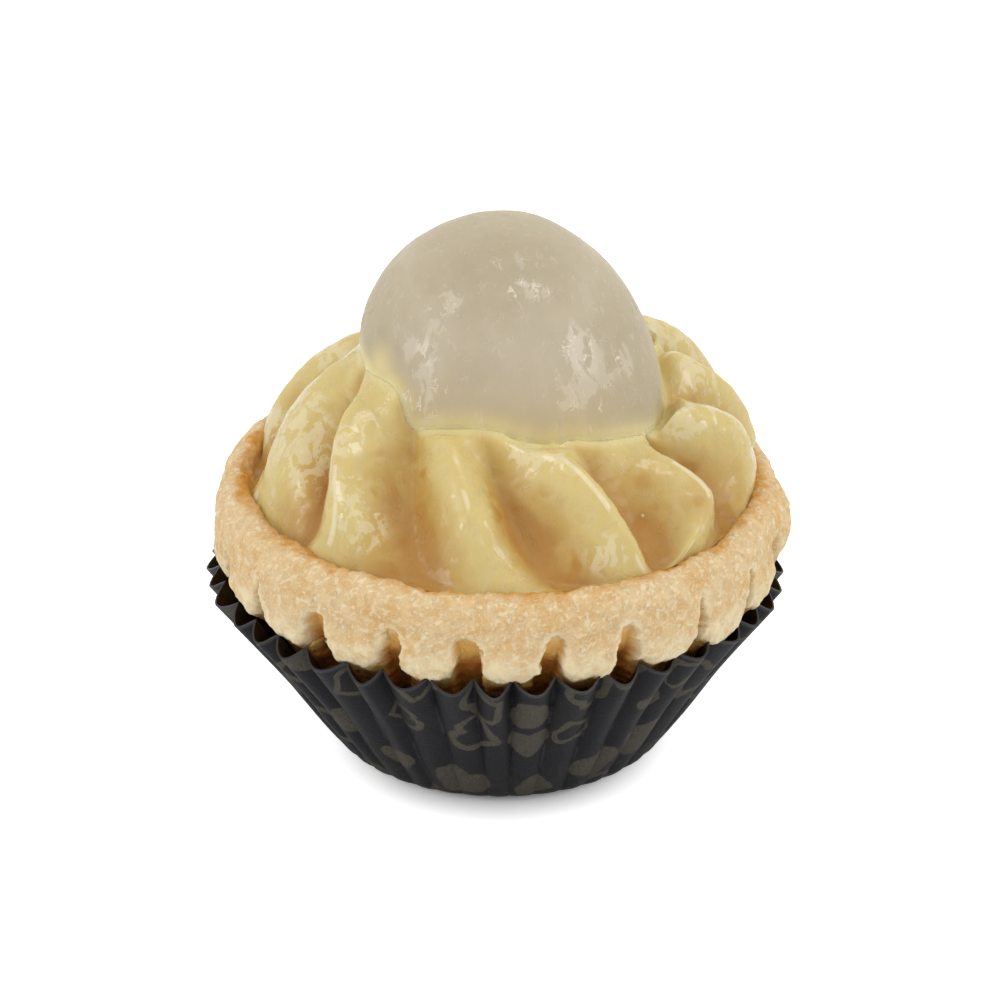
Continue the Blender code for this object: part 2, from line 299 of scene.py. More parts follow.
paperLook = {
    "pleats": 40,
    "pleatSpread": 0.12,  # how unevenly they lie, as a share of their width
    "wall": 0.22 * mm,
    "baseRadius": 15.6 * mm,
    "baseRings": (0.35, 0.7, 0.94),
    # the inner folds: radius and height at four levels, and there how deep the pleats are and how far they dip
    "levels": ((16.8 * mm, 0.7 * mm), (18.3 * mm, 2.7 * mm), (23.55 * mm, 11.2 * mm), (28.6 * mm, 19.7 * mm)),
    "depths": (0.3 * mm, 0.5 * mm, 1.05 * mm, 1.6 * mm),
    "dips": (0, 0, 0.2 * mm, 1.5 * mm),
    "shift": -0.5 * mm,
    "tilt": -0.02,  # the rim is higher at the front
    "columns": 18,  # per pleat
    "rows": 26,
    "creaseWidth": 0.13,
    "sharpFrom": 38,  # degrees
    "dark": (0.0098, 0.0100, 0.0122),
    "inside": (0.006, 0.005, 0.004),
    "print": (0.090, 0.079, 0.060),
    # painted highlight along the folds, also used for the rim's lighter edge
    "crease": (0.065, 0.065, 0.070),
    "roughness": (0.42, 0.62),  # of plain and printed paper
    "insideRoughness": (0.3, 0.45),
    "bump": (0.5, 0.03 * mm),  # strength and depth
    "finish": {"Specular IOR Level": 0.15},
    "motifSpacing": 7.6 * mm,
    "motifSize": 4.16 * mm,
    "motifLine": 0.07,
    "motifBend": (0.0011, 0.0011, 0.0),
    "mottle": (260.0, 6500.0),
    "insideMottle": (300.0, 5000.0),
}


def makePaperCup(look):
    folds = unevenMarks(look["pleats"], 4.0, look["pleatSpread"], seed=4)
    angles, number, share = columnsBetween(folds, np.arange(look["columns"]) / look["columns"])
    draw = random.Random(12)
    deep = np.array([draw.uniform(0.8, 1.0) for _ in range(look["pleats"])])[number]
    skew = np.array([draw.uniform(-0.1, 0.1) for _ in range(look["pleats"])])[number]
    skewed = share + skew * np.sin(np.pi * share) ** 2
    pleat = deep * np.sin(np.pi * skewed) ** 0.85
    rim = look["levels"][-1][1]

    def foldRing(level, depth, dip):
        ring = onCircle(angles, level[0] + depth * pleat, level[1] - dip * pleat)
        ring[:, 0] += look["shift"] * level[1] / rim
        ring[:, 2] += look["tilt"] * ring[:, 1] * level[1] / rim
        return ring

    base = [onCircle(angles, look["baseRadius"] * share, 0.0) for share in look["baseRings"]]
    side = [onCircle(angles, look["baseRadius"], 0.0)]
    side += [foldRing(*row) for row in zip(look["levels"], look["depths"], look["dips"])]
    outside = smoothRows(side, (3, 4, look["rows"] // 2, look["rows"] // 2))
    wall = look["wall"]
    inside = outside - outward(outside) * wall
    inside[..., 2] = np.maximum(inside[..., 2], wall)
    grid = np.concatenate([base, outside, inside[::-1], [ring + (0, 0, wall) for ring in reversed(base)]])
    # the sheet's own flat layout: distance from the middle, and share of the way round
    steps = np.linalg.norm(np.diff(np.concatenate([base, outside]), axis=0), axis=2).mean(axis=1)
    reach = np.concatenate([[0], np.cumsum(steps)]) + look["baseRadius"] * look["baseRings"][0]
    ringStep = np.linalg.norm(np.roll(outside[-1], -1, axis=0) - outside[-1], axis=1)
    turn = 2 * math.pi * np.concatenate([[0], np.cumsum(ringStep)[:-1]]) / ringStep.sum()
    sheet = np.stack([reach[:, None] * np.sin(turn), -reach[:, None] * np.cos(turn)], axis=-1)
    sheet = np.concatenate([sheet, sheet[::-1]])
    edge = np.minimum(share, 1 - share) * 2
    fade = easeStep(0, 0.5, np.linspace(0, 1, len(outside)))
    # where a painted highlight runs along the folds, fading out lower down
    crease = (1 - easeStep(0.0, look["creaseWidth"], edge))[None, :] * fade[:, None]
    pad = np.zeros((len(base), len(angles)))
    creases = np.concatenate([pad, crease, crease[::-1] * 0, pad])
    rimRow = len(base) + len(outside) - 1
    rimLine = np.zeros_like(creases)
    rimLine[rimRow:rimRow + 2] = 1.0
    values = {"crease": creases, "rim": rimLine}
    cup = gridPiece("paperCup", grid, (0, 0, 0), (0, 0, wall), values, sheet, look["sharpFrom"])
    cup.data.materials.append(paperMaterial(look))
    cup.data.materials.append(paperInsideMaterial(look))
    which = np.zeros(len(cup.data.polygons), np.int32)
    which[len(angles) * (1 + rimRow):] = 1
    cup.data.polygons.foreach_set("material_index", which)
    place(cup, "paper_cup")


def makeHeartGroup():
    # hearts on a loose grid, some filled and some only outlined, each turned its own way
    takes = [("Vector", "Vector", None), ("Spacing", "Float", 0.008), ("Size", "Float", 0.002),
             ("Line", "Float", 0.1)]
    group, given, result = newGroup("heartPrint", takes, [("Print", "Float")])
    inverse = maths(group, "DIVIDE", 1.0, given["Spacing"])
    cells = add(group, "TexVoronoi", {"Vector": given["Vector"], "Scale": inverse, "Randomness": 0.55},
                voronoi_dimensions="2D").outputs
    local = add(group, "VectorMath", {0: given["Vector"], 1: cells["Position"]}, operation="SUBTRACT")
    chance = add(group, "SeparateColor", {"Color": cells["Color"]}).outputs
    turn = maths(group, "MULTIPLY", chance[0], 2 * math.pi)
    turned = add(group, "VectorRotate", {"Vector": local.outputs[0], "Angle": turn}, rotation_type="Z_AXIS")
    size = maths(group, "MULTIPLY", given["Size"], ramp(group, chance[2], 0, 1, 0.85, 1.25))
    scaled = add(group, "VectorMath", {0: turned.outputs[0], 3: maths(group, "DIVIDE", 1.0, size)},
                 operation="SCALE")
    # distance to a heart of height 1.1 with its point at the origin
    axes = add(group, "SeparateXYZ", {0: scaled.outputs[0]}).outputs
    x = maths(group, "ABSOLUTE", axes[0])
    y = maths(group, "ADD", axes[1], 0.55)
    total = maths(group, "ADD", x, y)
    toLobe = squares(group, maths(group, "SUBTRACT", x, 0.25), maths(group, "SUBTRACT", y, 0.75))
    lobe = maths(group, "SUBTRACT", maths(group, "SQRT", toLobe), math.sqrt(2) / 4)
    toTop = squares(group, x, maths(group, "SUBTRACT", y, 1.0))
    half = maths(group, "MULTIPLY", maths(group, "MAXIMUM", total, 0.0), 0.5)
    toSide = squares(group, maths(group, "SUBTRACT", x, half), maths(group, "SUBTRACT", y, half))
    near = maths(group, "SQRT", maths(group, "MINIMUM", toTop, toSide))
    point = maths(group, "MULTIPLY", near, maths(group, "SIGN", maths(group, "SUBTRACT", x, y)))
    upper = maths(group, "GREATER_THAN", total, 1.0)
    distance = add(group, "Mix", {0: upper, 2: point, 3: lobe}).outputs[0]
    filled = ramp(group, distance, -0.02, 0.02, 1.0, 0.0)
    outline = ramp(group, maths(group, "ABSOLUTE", distance), given["Line"],
                   maths(group, "ADD", given["Line"], 0.04), 1.0, 0.0)
    kind = maths(group, "GREATER_THAN", chance[1], 0.5)
    fill(group, result, {"Print": add(group, "Mix", {0: kind, 2: outline, 3: filled}).outputs[0]})
    return group


def paperMaterial(look):
    material, tree, shader, place3d = newMaterial("darkPaper")
    sheet = add(tree, "UVMap", uv_map="sheet").outputs[0]
    wavy = add(tree, "TexNoise", {"Vector": place3d, "Scale": 420.0, "Detail": 2.0}).outputs["Color"]
    shifted = add(tree, "VectorMath", {0: wavy, 1: (0.5, 0.5, 0.5)}, operation="SUBTRACT")
    bent = add(tree, "VectorMath", {0: shifted.outputs[0], 1: look["motifBend"], 2: sheet},
               operation="MULTIPLY_ADD")
    hearts = useGroup(tree, makeHeartGroup(), {
        "Vector": bent.outputs[0], "Spacing": look["motifSpacing"], "Size": look["motifSize"],
        "Line": look["motifLine"]})
    mottle = mottled(tree, place3d, look["mottle"])
    specks = mottle["Specks"]
    printGrain = maths(tree, "MULTIPLY", hearts["Print"], ramp(tree, specks, 0.0, 1.0, 0.5, 1.1))
    paper = tint(tree, specks, [c * 0.86 for c in look["dark"]], [c * 1.12 for c in look["dark"]])
    printed = tint(tree, printGrain, paper, look["print"])
    patchy = ramp(tree, mottle["Patches"], 0.2, 1.0, 0.15, 0.75)
    plain, rough = look["roughness"]
    # painted highlight along the folds, broken into patches, and the rim edge drawn lighter in the same colour
    foldHighlight = maths(tree, "MULTIPLY", painted(tree, "crease"), patchy)
    edged = tint(tree, foldHighlight, printed, look["crease"])
    fill(tree, shader, {
        "Base Color": tint(tree, ramp(tree, painted(tree, "rim"), 0.3, 1.0, 0.0, 0.7), edged, look["crease"]),
        "Roughness": add(tree, "Mix", {0: printGrain, 2: plain, 3: rough}).outputs[0],
        "Normal": bumped(tree, maths(tree, "MULTIPLY_ADD", mottle["Patches"], 2.0, specks), *look["bump"]),
        **look["finish"]})
    return material


def paperInsideMaterial(look):
    material, tree, shader, place3d = newMaterial("greasyPaperInside")
    mottle = mottled(tree, place3d, look["insideMottle"])
    inner = look["inside"]
    fill(tree, shader, {"Base Color": tint(tree, mottle["Patches"], inner, [c * 1.7 for c in inner]),
                        "Roughness": ramp(tree, mottle["Specks"], 0, 1, *look["insideRoughness"])})
    return material


makePaperCup(paperLook)
print("paper cup made")


pastryLook = {
    "lobes": 22,
    # the floor of a notch, in mm: heights, and how far out it is there
    "notchFloor": ((5, 14.8, 19.5, 21.3, 22.4, 23.9, 25.2, 26.5),
                   (16, 22.7, 25.5, 26.6, 27.2, 28.0, 28.8, 29.7)),
    # the notches at the front: angle, half its width and how high it reaches
    "frontNotches": ((-56.8, 0.40, 25.0), (-39.8, 0.90, 23.6), (-22.2, 0.72, 24.4), (-6.4, 0.90, 23.9),
                     (10.3, 0.75, 24.1), (26.2, 0.62, 24.4), (43.9, 0.30, 25.6), (60.2, 0.42, 25.2)),
    "otherNotches": ((0.45, 0.9), (23.8, 25.0)),  # half width and height, drawn at random
    "hang": (-0.2 * mm, 0.5 * mm),
    "swell": (-0.3 * mm, 0.4 * mm),
    # one lobe at the right sticks out between its neighbours and is tucked in below
    "loneAngle": 92,
    "loneSwell": (-0.35 * mm, 0.42 * mm, -0.35 * mm),
    "loneTuck": 0.8 * mm,
    "rimRadius": 29.3 * mm,
    "unevenness": 0.3 * mm,
    "roundedOff": (0.35 * mm, 1.4 * mm),  # how much, and how far from a notch
    "tilt": (-0.014, 0.022),
    "columns": 880,
    # lumps for relief(), along the lower edge and rim, round the notches and all over
    "edgeCrumbs": ((0.3, 2.2, 12, 3), (0.16, 0.6, 14, 2)),
    "notchCrumbs": ((0.3, 0.7, 3, 3), (0.3, 2.4, 4, 1)),
    "crumb": ((0.26, 3.2, 5, 2), (0.14, 1.2, 6, 2)),
    "pale": (0.645, 0.45, 0.225),
    "golden": (0.615, 0.36, 0.115),
    "browned": (0.60, 0.28, 0.045),
    "floury": (0.80, 0.675, 0.43),
    "sugar": (0.88, 0.79, 0.58),
    # inside the notches: partly browned crust and partly painted shade, and deeper down painted shade alone
    "inNotch": (0.80, 0.45, 0.10),
    "deepNotchShade": (0.50, 0.165, 0.018),
    "roughness": (0.8, 0.5),  # of the crumb and of its sugar
    "bump": (0.8, 0.09 * mm),
    "mottle": (190.0, 2300.0),
    "fineMottle": (800.0, 3600.0),
    "finish": {"Specular IOR Level": 0.35, "Subsurface Weight": 0.3, "Subsurface Radius": (1.0, 0.5, 0.2),
               "Subsurface Scale": 0.0012},
}


def notchTable(look):
    draw = random.Random(11)
    front = look["frontNotches"]
    rest = look["lobes"] - len(front)
    pitch = (360 + front[0][0] - front[-1][0]) / (rest + 1)
    widths, tops = look["otherNotches"]
    behind = [(front[-1][0] + pitch * (n + 1 + draw.uniform(-0.08, 0.08)), draw.uniform(*widths),
               draw.uniform(*tops)) for n in range(rest)]
    table = np.array((*front, *behind))
    return table[:, 0], table[:, 1] * mm, table[:, 2] * mm


def makePastryCase(look):
    notchAngles, widths, tops = notchTable(look)
    notches = np.append(notchAngles, notchAngles[0] + 360)
    angles = np.arange(look["columns"]) * 360 / look["columns"] + notches[0]
    lobe = np.searchsorted(notches, angles, side="right") - 1
    share = (angles - notches[lobe]) / (notches[lobe + 1] - notches[lobe])
    draw = random.Random(5)
    hang = np.array([draw.uniform(*look["hang"]) for _ in range(look["lobes"])])
    swell = np.array([draw.uniform(*look["swell"]) for _ in range(look["lobes"])])
    middles = (notches[:-1] + notches[1:]) / 2
    lone = np.abs((middles - look["loneAngle"] + 180) % 360 - 180).argmin()
    swell[lone - 1:lone + 2] = look["loneSwell"]
    bulge = np.sin(np.pi * share) ** 0.6
    tucked = look["loneTuck"] * (lobe == lone) * bulge
    corner = 1 - easeStep(0.05, 0.36, np.minimum(share, 1 - share))
    wave = look["unevenness"] * wobble(angles, seed=3)
    around = onCircle(angles, 26 * mm, 0.0)
    crumbled = mm * relief(around, look["edgeCrumbs"])

    def rimRing(radius, height, swelling=1.0, unevenness=1.0):
        return onCircle(angles, radius + swell[lobe] * bulge * swelling + unevenness * wave, height)

    def lobeRing(radius, height, hanging, lift):
        return rimRing(radius - tucked, height + hang[lobe] * hanging + corner * lift + crumbled, 0.25, 0.3)

    # up the outside, over the rim and down the inside
    rings = [
        onCircle(angles, 13.2 * mm, 0.7 * mm),
        onCircle(angles, 16.2 * mm, 2.6 * mm),
        onCircle(angles, 23.8 * mm, 14.8 * mm),
        rimRing(26.7 * mm, 18.4 * mm, 0.3, 0.3),
        lobeRing(27.7 * mm, 19.2 * mm, 1.0, 1.0 * mm),
        lobeRing(28.9 * mm, 20.2 * mm, 0.8, 0.8 * mm),
        lobeRing(29.5 * mm, 22.2 * mm, 0.3, 0.3 * mm),
        rimRing(29.6 * mm, 25.2 * mm),
        rimRing(look["rimRadius"], 27.4 * mm, 0.8),
        rimRing(28.4 * mm, 28.8 * mm, 0.5),
        rimRing(27.0 * mm, 29.4 * mm + 0.7 * crumbled, 0.2),
        onCircle(angles, 26.1 * mm + look["unevenness"] * wobble(angles, 8), 29.15 * mm + wave + crumbled),
        onCircle(angles, 25.5 * mm, 27.6 * mm),
        onCircle(angles, 20.0 * mm, 18.2 * mm),
        onCircle(angles, 12.5 * mm, 5.6 * mm),
    ]
    rowsEach = (2, 3, 18, 7, 8, 8, 10, 10, 8, 7, 7, 8, 4, 2)
    grid = smoothRows(rings, rowsEach)
    ringRows = np.concatenate([[0], np.cumsum(rowsEach)])
    rowNumbers = np.arange(len(grid))[:, None]
    outside = rowNumbers < ringRows[10]
    grid[..., 2] += grid[..., :2] @ np.array(look["tilt"]) * grid[..., 2] / look["rimRadius"]
    # notches: slots with round tops that widen downwards and run on down the wall
    leans = np.array([draw.uniform(-0.12, 0.12) for _ in range(look["lobes"])])
    nearest = np.where(share < 0.5, lobe, (lobe + 1) % look["lobes"])
    away = np.where(share < 0.5, share, share - 1) * (notches[lobe + 1] - notches[lobe])
    height = grid[..., 2]
    radius = np.hypot(grid[..., 0], grid[..., 1])
    sideways = np.radians(away)[None, :] * radius + leans[nearest][None, :] * (height - 21 * mm)
    overTop = np.maximum(height - tops[nearest][None, :], 0)
    widening = 1 + 0.55 * easeStep(25.6 * mm, 21.0 * mm, height)
    slot = np.hypot(sideways, overTop) - widths[nearest][None, :] * widening
    slot += mm * relief(grid, look["notchCrumbs"])
    outer = outside * easeStep(5 * mm, 12 * mm, height)
    notch = (1 - easeStep(-0.15 * mm, 0.2 * mm, slot)) * outer
    roundedBy, roundedFor = look["roundedOff"]
    rounding = (1 - easeStep(0.0, roundedFor, slot)) * outer
    floorRadius = np.interp(height / mm, *look["notchFloor"]) * mm
    pushed = radius - roundedBy * rounding
    pushed -= notch * np.maximum(pushed - floorRadius, 0)
    grid[..., :2] *= (pushed / radius)[..., None]
    # the crumb: broad lumps, sandy grains and a few pits
    shown = easeStep(12 * mm, 17 * mm, grid[..., 2])
    grains = lumps(grid, 0.42 * mm, 7, 2)
    pits = np.maximum(-lumps(grid, 0.9 * mm, 8, 2) - 0.4, 0)
    raised = relief(grid, look["crumb"]) + 0.09 * np.maximum(grains, -0.2) - 0.25 * pits
    grid += outward(grid) * (raised * shown * mm)[..., None]
    # where it is browned, inside a notch and deep in it for the painted shade there, and powdery
    height = grid[..., 2]
    lip = np.hypot(grid[..., 0], grid[..., 1]) + 0.9 * mm * lumps(grid, 1.6 * mm, 9, 3)
    patchy = 0.75 + 0.5 * lumps(around, 7 * mm, 10, 2)
    browned = np.clip((1 - easeStep(26.2 * mm, 28.4 * mm, lip)) * patchy[None, :], 0, 1)
    browned *= easeStep(26 * mm, 28 * mm, height)
    # painted shade: the lobes' undersides and the notches turn warm brown, and darker lower down and below the
    # lobes
    low = easeStep(ringRows[5], ringRows[4] + 1, rowNumbers) * outside
    inNotch = np.clip(notch * easeStep(25.8 * mm, 23.2 * mm, height) + low, 0, 1)
    underLobeShade = 0.8 * easeStep(20.0 * mm, 18.0 * mm, height)
    deep = np.clip(notch * easeStep(23.8 * mm, 20.0 * mm, height) + underLobeShade, 0, 1)
    powder = (1 - notch) * easeStep(ringRows[7], ringRows[6] - 2, rowNumbers) * (1 - low)
    powder = np.maximum(powder, rounding * (1 - notch)) * (0.7 + 0.7 * lumps(grid, 1.4 * mm, 13, 3))
    values = {"browned": browned, "inNotch": inNotch, "deep": deep, "powder": powder, "grain": grains}
    case = gridPiece("pastryCase", grid, (0, 0, 0.7 * mm), (0, 0, 5.1 * mm), values)
    case.data.materials.append(pastryMaterial(look))
    place(case, "pastry_case")


def pastryMaterial(look):
    material, tree, shader, place3d = newMaterial("bakedPastry")
    mottle = mottled(tree, place3d, look["mottle"])
    fine = mottled(tree, place3d, look["fineMottle"])
    base = tint(tree, ramp(tree, mottle["Patches"], 0, 1, 0.1, 0.75), look["pale"], look["golden"])
    sandy = tint(tree, ramp(tree, fine["Patches"], 0, 1, 0.0, 0.3), base, look["floury"])
    raised = tint(tree, ramp(tree, painted(tree, "grain"), 0.1, 0.5, 0.0, 0.4), sandy, look["sugar"])
    powdered = tint(tree, ramp(tree, painted(tree, "powder"), 0.1, 0.9, 0.0, 0.85), raised, look["floury"])
    # sugary crumbs: ragged little clumps, and finer specks between them
    clumps = ramp(tree, cloudy(tree, place3d, 1500.0, 4.0, 0.65), 0.56, 0.64)
    sugar = maths(tree, "MAXIMUM", clumps, maths(tree, "MULTIPLY", fine["Specks"], 0.35))
    specked = tint(tree, maths(tree, "MULTIPLY", sugar, 0.5), powdered, look["sugar"])
    brownMask = maths(tree, "MULTIPLY", painted(tree, "browned"), ramp(tree, fine["Patches"], 0, 1, 0.6, 1.0))
    baked = tint(tree, ramp(tree, brownMask, 0.05, 0.75), specked, look["browned"])
    # painted shade in the notches and under the lobes, partly browned crust, dark brown deeper down
    shaded = tint(tree, ramp(tree, painted(tree, "inNotch"), 0.15, 1.0, 0.0, 0.85), baked, look["inNotch"])
    deep = ramp(tree, painted(tree, "deep"), 0.1, 1.0, 0.0, 0.9)
    fill(tree, shader, {
        "Base Color": tint(tree, deep, shaded, look["deepNotchShade"]),
        "Roughness": ramp(tree, clumps, 0, 1, *look["roughness"]),
        "Normal": bumped(tree, sugar, *look["bump"]), **look["finish"]})
    return material


makePastryCase(pastryLook)
print("pastry case made")


lycheeLook = {
    "radius": 15.6 * mm,
    "rise": 17.8 * mm,
    "drop": 2.6 * mm,
    "place": (1.3 * mm, 0.0, 39.7 * mm),
    "tilt": -0.18,
    "lean": -0.07,
    "columns": 260,
    "unevenness": 0.012,
    "flesh": (0.515, 0.447, 0.333),
    "milky": (0.555, 0.487, 0.373),
    "sideShade": (0.40, 0.34, 0.235),  # painted shade: darker towards its sides and top, where the lamps light it more
    "amber": (0.56, 0.44, 0.24),
    "custardThrough": (0.74, 0.61, 0.29),
    # painted light where it touches the custard, over the crevice's shade
    "contact": (0.96, 0.82, 0.42),
    "contactGlow": (0.18, 0.10, 0.01),  # painted glow where it touches the custard, lighting up the crevice's shade
    # painted highlight where the glaze catches the light
    "sheen": (0.78, 0.71, 0.59),
    "roughness": (0.26, 0.36),
    "bump": (0.4, 0.07 * mm),
    "seenThrough": 1.5 * mm,  # how far the custard shows through
    "sunkShare": 0.62,
    "mottle": (150.0, 1100.0),
    "rippleScale": 380.0,
    "poolScale": 560.0,
    "poolShares": (0.28, 0.62),
    "wrinkleScale": 820.0,
    "caught": 0.24,
    "finish": {"Coat Roughness": 0.04, "IOR": 1.28, "Specular IOR Level": 0.02, "Emission Strength": 1.0,
               "Subsurface Weight": 1.0, "Subsurface Radius": (1.0, 0.85, 0.65), "Subsurface Scale": 0.004},
    # where custard shows through from further in: angle, distance out, height and size, in degrees and mm
    "sunk": ((-56, 14.5, 44.6, 3.2), (-44, 14.9, 42.4, 3.2)),
    # wet places, where the glaze catches the light and gets a painted highlight, given in the same way
    "wetAndHighlight": (
        (35, 14.1, 47.4, 2.2), (40, 14.9, 45.6, 2.0), (56, 15.0, 45.3, 1.2), (57, 14.9, 46.5, 1.0),
        (27, 15.3, 44.1, 1.2), (33, 15.5, 43.8, 1.0), (40, 15.6, 43.4, 1.2),
        (-38, 13.7, 48.0, 1.3), (-33, 14.3, 46.3, 1.1), (-28, 14.8, 44.6, 1.3), (-34, 14.8, 42.8, 1.7),
        (23, 10.1, 53.3, 1.0), (12, 9.5, 53.8, 0.9), (-28, 10.7, 52.8, 1.2),
    ),
}


class Surface:
    # a skin that others can ask how far away it is
    def __init__(self, grid):
        rows, columns = grid.shape[:2]
        faces = [(r * columns + n, r * columns + (n + 1) % columns, (r + 1) * columns + (n + 1) % columns,
                  (r + 1) * columns + n) for r in range(rows - 1) for n in range(columns)]
        self.tree = BVHTree.FromPolygons(grid.reshape(-1, 3).tolist(), faces)

    def gaps(self, points):
        found = [self.tree.find_nearest(Vector(p))[3] for p in points.reshape(-1, 3)]
        return np.array(found).reshape(points.shape[:-1])


def lycheeShape(look):
    angles = np.arange(look["columns"]) * 360 / look["columns"]
    uneven = 1 + look["unevenness"] * wobble(angles, 21, waves=(2, 3, 4))
    turns = np.radians((0, 9, 18, 27, 36, 45, 54, 63, 72, 80, 86))
    levels = [(0.3, -look["drop"]), (0.9, -look["drop"]), (0.99, -0.7 * look["drop"])]
    levels += [(math.cos(turn), look["rise"] * math.sin(turn)) for turn in turns]
    rings = [onCircle(angles, look["radius"] * share * uneven, height) for share, height in levels]
    grid = smoothRows(rings, (5, 8, 8, *([12] * 8), 10, 8))
    push = 0.16 * lumps(grid, 7 * mm, 31, 2) + 0.05 * lumps(grid * (1, 1, 0.5), 2.0 * mm, 32, 2)
    grid += outward(grid) * (push * mm)[..., None]
    settle = 1 - np.maximum(grid[..., 2], 0) / look["rise"]
    x, z = grid[..., 0].copy(), grid[..., 2].copy()
    grid[..., 0] += look["lean"] * z
    grid[..., 2] += look["tilt"] * x * settle
    return grid + np.array(look["place"])


def makeLychee(look, grid, cream):
    middle = np.array(look["place"])
    low, high = middle + (0, 0, -look["drop"]), middle + (look["lean"] * look["rise"], 0, look["rise"])
    sunk = look["sunkShare"] * nearSpots(grid, look["sunk"])
    near = np.maximum(np.exp(-cream.gaps(grid) / look["seenThrough"]), sunk)
    values = {"nearCustard": near, "wetAndHighlight": nearSpots(grid, look["wetAndHighlight"])}
    piece = gridPiece("peeledLychee", grid, low, high, values)
    piece.data.materials.append(lycheeMaterial(look))
    place(piece, "lychee")


def lycheeMaterial(look):
    material, tree, shader, place3d = newMaterial("lycheeFlesh")
    patches = mottled(tree, place3d, look["mottle"])["Patches"]
    flesh = tint(tree, ramp(tree, patches, 0, 1, 0.0, 0.6), look["flesh"], look["milky"])
    height = add(tree, "SeparateXYZ", {0: place3d}).outputs[2]
    middle = look["place"][2]
    warm = tint(tree, ramp(tree, height, middle + 9 * mm, middle - 2 * mm, 0.0, 0.75), flesh, look["amber"])
    # painted shade, darker towards the sides and top where the lamps light it more
    facing = add(tree, "SeparateXYZ", {0: add(tree, "TexCoord").outputs["Normal"]}).outputs
    sides = ramp(tree, maths(tree, "ABSOLUTE", facing[0]), 0.4, 0.92, 0.0, 0.85)
    turned = maths(tree, "MAXIMUM", sides, ramp(tree, facing[2], 0.45, 0.95, 0.0, 0.65))
    sideShade = tint(tree, turned, warm, look["sideShade"])
    near = painted(tree, "nearCustard")
    through = tint(tree, ramp(tree, near, 0.12, 0.85, 0.0, 0.95), sideShade, look["custardThrough"])
    # painted light along the contact with the custard
    litContact = tint(tree, ramp(tree, near, 0.75, 1.0), through, look["contact"])
    glaze, wetAndHighlight, caught = glazed(tree, place3d, look)
    # painted highlight streaks along the glaze's wrinkles, and painted highlight where it is wet
    highlightStreaks = maths(tree, "MULTIPLY", glaze["Wrinkles"], ramp(tree, wetAndHighlight, 0.0, 0.3, 0.15, 0.6))
    # the glaze thins out where it turns away, so that it doesn't mirror the room there
    slant = add(tree, "LayerWeight", {"Blend": 0.5}).outputs["Facing"]
    fill(tree, shader, {
        "Base Color": tint(tree, maths(tree, "MAXIMUM", caught, highlightStreaks), litContact, look["sheen"]),
        "Roughness": ramp(tree, patches, 0, 1, *look["roughness"]),
        "Coat Weight": maths(tree, "MULTIPLY", glaze["Wetness"], ramp(tree, slant, 0.25, 0.65, 0.5, 0.0)),
        # a painted glow along the contact with the custard
        "Emission Color": tint(tree, ramp(tree, near, 0.86, 1.0), (0, 0, 0), look["contactGlow"]),
        "Normal": bumped(tree, glaze["Height"], *look["bump"]), **look["finish"]})
    return material


